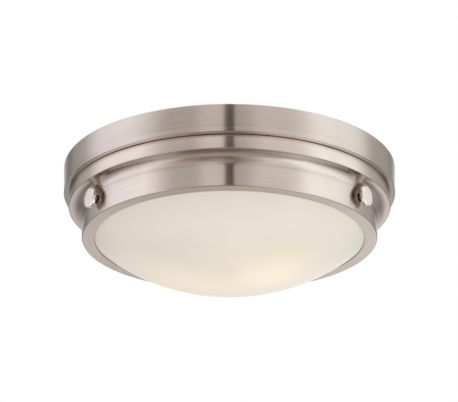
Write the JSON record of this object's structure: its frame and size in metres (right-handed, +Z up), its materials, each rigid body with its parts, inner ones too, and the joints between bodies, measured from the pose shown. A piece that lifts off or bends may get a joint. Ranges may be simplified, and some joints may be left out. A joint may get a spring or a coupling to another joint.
{
  "type": "flush ceiling light",
  "caption": "Round flush ceiling light: spun satin metal pan and stepped ring, opal glass bowl held by side thumb screws, screw-cap lamps inside.",
  "frame": {"origin": "centre of the ceiling plane, midway between the strap's slots for the outlet box screws", "axes": "+Z up into the ceiling, along the light's axis; +Y along the strap; the pictured side faces -Y"},
  "size_m": [0.335, 0.335, 0.1217],
  "materials": {
    "satin_nickel": "satin, brushed round the axis",
    "knob_nickel": "satin face, polished rim",
    "washer_fibre": "black fibre",
    "plated_steel": "zinc plated",
    "white_enamel": "white enamel",
    "ground_green": "green passivated",
    "opal_glass": "opal white, smooth",
    "gasket_silicone": "translucent silicone",
    "porcelain": "white glaze",
    "contact_brass": "bright",
    "frosted_glass": "frosted white",
    "lamp_cap": "rolled",
    "cap_insulator": "black glass",
    "lead_black": "matte sleeve",
    "lead_white": "matte sleeve",
    "connector_plastic": "ribbed moulding",
    "bushing_plastic": "nylon",
    "insulation": "glass fibre mat"
  },
  "bodies": {
    "pan": {"ceiling_pan": "satin_nickel", "fitter_collar": "white_enamel", "collar_rivets": "plated_steel", "bracket_rivets": "plated_steel", "insulation_pad": "insulation", "wire_bushing": "bushing_plastic", "mounting_strap": "plated_steel", "mounting_screws": "plated_steel", "ground_screw": "ground_green", "holder_screws": "plated_steel", "wire_connectors": "connector_plastic", "lamp_bracket_right": "plated_steel", "lamp_holder_right": "porcelain", "screw_shell_right": "contact_brass", "centre_contact_right": "contact_brass", "lead_live_right": "lead_black", "lead_neutral_right": "lead_white", "lamp_bracket_left": "plated_steel", "lamp_holder_left": "porcelain", "screw_shell_left": "contact_brass", "centre_contact_left": "contact_brass", "lead_live_left": "lead_black", "lead_neutral_left": "lead_white"},
    "ring": {"glass_ring": "satin_nickel", "glass_gasket": "gasket_silicone", "glass_bowl": "opal_glass", "weld_nuts": "plated_steel"},
    "washer_left": {"screw_washer_left": "washer_fibre"},
    "screw_left": {"thumb_screw_left": "knob_nickel"},
    "washer_right": {"screw_washer_right": "washer_fibre"},
    "screw_right": {"thumb_screw_right": "knob_nickel"},
    "washer_rear": {"screw_washer_rear": "washer_fibre"},
    "screw_rear": {"thumb_screw_rear": "knob_nickel"},
    "lamp_right": {"bulb_glass_right": "frosted_glass", "bulb_cap_right": "lamp_cap", "bulb_insulator_right": "cap_insulator", "bulb_tip_right": "lamp_cap"},
    "lamp_left": {"bulb_glass_left": "frosted_glass", "bulb_cap_left": "lamp_cap", "bulb_insulator_left": "cap_insulator", "bulb_tip_left": "lamp_cap"}
  },
  "joints": [
    {"name": "ring_drop", "type": "slide", "parent": "pan", "child": "ring", "axis": [0, 0, -1], "range_m": [0, 0.1]},
    {"name": "screw_left_travel", "type": "slide", "parent": "ring", "child": "washer_left", "axis": [-0.866, -0.5, 0], "range_m": [0, 0.004]},
    {"name": "screw_left_turn", "type": "hinge", "parent": "washer_left", "child": "screw_left", "pos_m": [0, 0, -0.05825], "axis": [-0.866, -0.5, 0], "range_deg": [0, 1800]},
    {"name": "screw_right_travel", "type": "slide", "parent": "ring", "child": "washer_right", "axis": [0.866, -0.5, 0], "range_m": [0, 0.004]},
    {"name": "screw_right_turn", "type": "hinge", "parent": "washer_right", "child": "screw_right", "pos_m": [0, 0, -0.05825], "axis": [0.866, -0.5, 0], "range_deg": [0, 1800]},
    {"name": "screw_rear_travel", "type": "slide", "parent": "ring", "child": "washer_rear", "axis": [0, 1, 0], "range_m": [0, 0.004]},
    {"name": "screw_rear_turn", "type": "hinge", "parent": "washer_rear", "child": "screw_rear", "pos_m": [0, 0, -0.05825], "axis": [0, 1, 0], "range_deg": [0, 1800]},
    {"name": "lamp_right_out", "type": "slide", "parent": "pan", "child": "lamp_right", "axis": [1, 0, 0], "range_m": [0, 0.026]},
    {"name": "lamp_left_out", "type": "slide", "parent": "pan", "child": "lamp_left", "axis": [-1, 0, 0], "range_m": [0, 0.026]}
  ],
  "couplings": [
    {"joint": "screw_left_travel", "follows": "screw_left_turn", "m_per_rad": 0.00012732},
    {"joint": "screw_right_travel", "follows": "screw_right_turn", "m_per_rad": 0.00012732},
    {"joint": "screw_rear_travel", "follows": "screw_rear_turn", "m_per_rad": 0.00012732}
  ]
}
